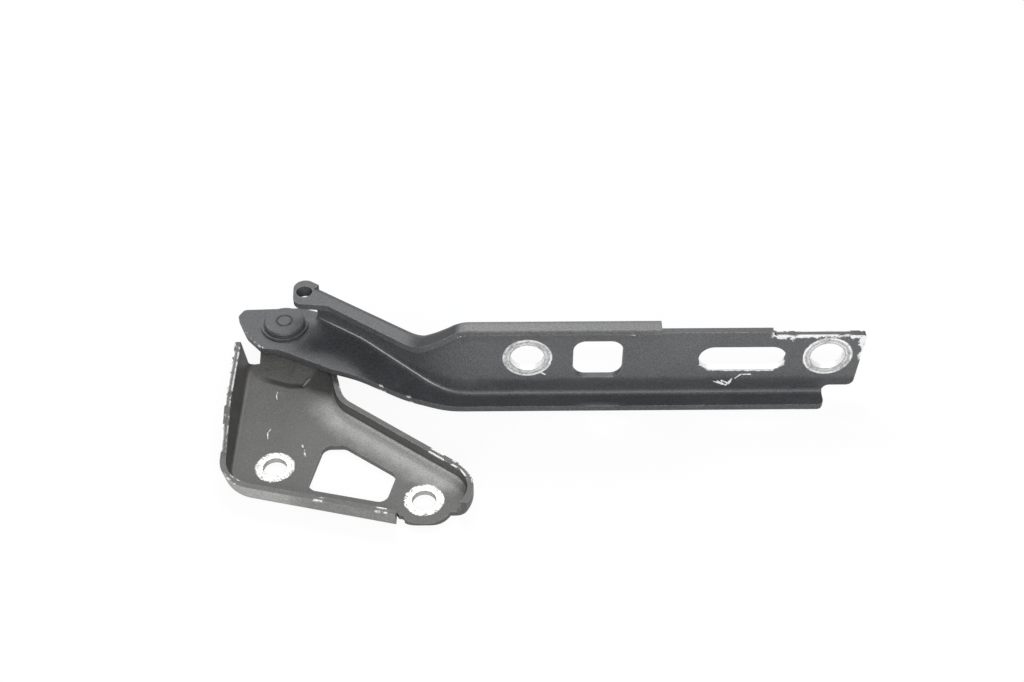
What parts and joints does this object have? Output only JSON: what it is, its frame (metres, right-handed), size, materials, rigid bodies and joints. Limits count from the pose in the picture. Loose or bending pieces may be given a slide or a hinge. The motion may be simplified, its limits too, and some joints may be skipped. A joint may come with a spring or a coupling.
{
  "type": "bonnet hinge",
  "caption": "Bonnet hinge: a cranked arm with a slotted mounting wall turns on a rivet seated on a dished plate bracket with a trapezoid window.",
  "frame": {"origin": "midway between the body bracket's two bolt holes, on its mounting face", "axes": "+Z out of the mounting face and along the pivot, +X along the arm's straight part away from the pivot"},
  "size_m": [0.2755, 0.1212, 0.0455],
  "materials": {
    "bracket_paint": "satin black, scuffed",
    "arm_paint": "satin black, scuffed",
    "rivet_paint": "satin black",
    "bush_metal": "plain bearing bronze",
    "washer_paint": "satin black"
  },
  "bodies": {
    "bracket_side": {"body_bracket": "bracket_paint", "pivot_rivet": "rivet_paint", "head_washer": "washer_paint"},
    "bonnet_side": {"bonnet_arm": "arm_paint", "pivot_bush": "bush_metal"}
  },
  "joints": [
    {"name": "pivot_hinge", "type": "hinge", "parent": "bracket_side", "child": "bonnet_side", "pos_m": [-0.034, 0.0856, 0.0115], "axis": [0, 0, 1], "range_deg": [-13, 38]}
  ]
}
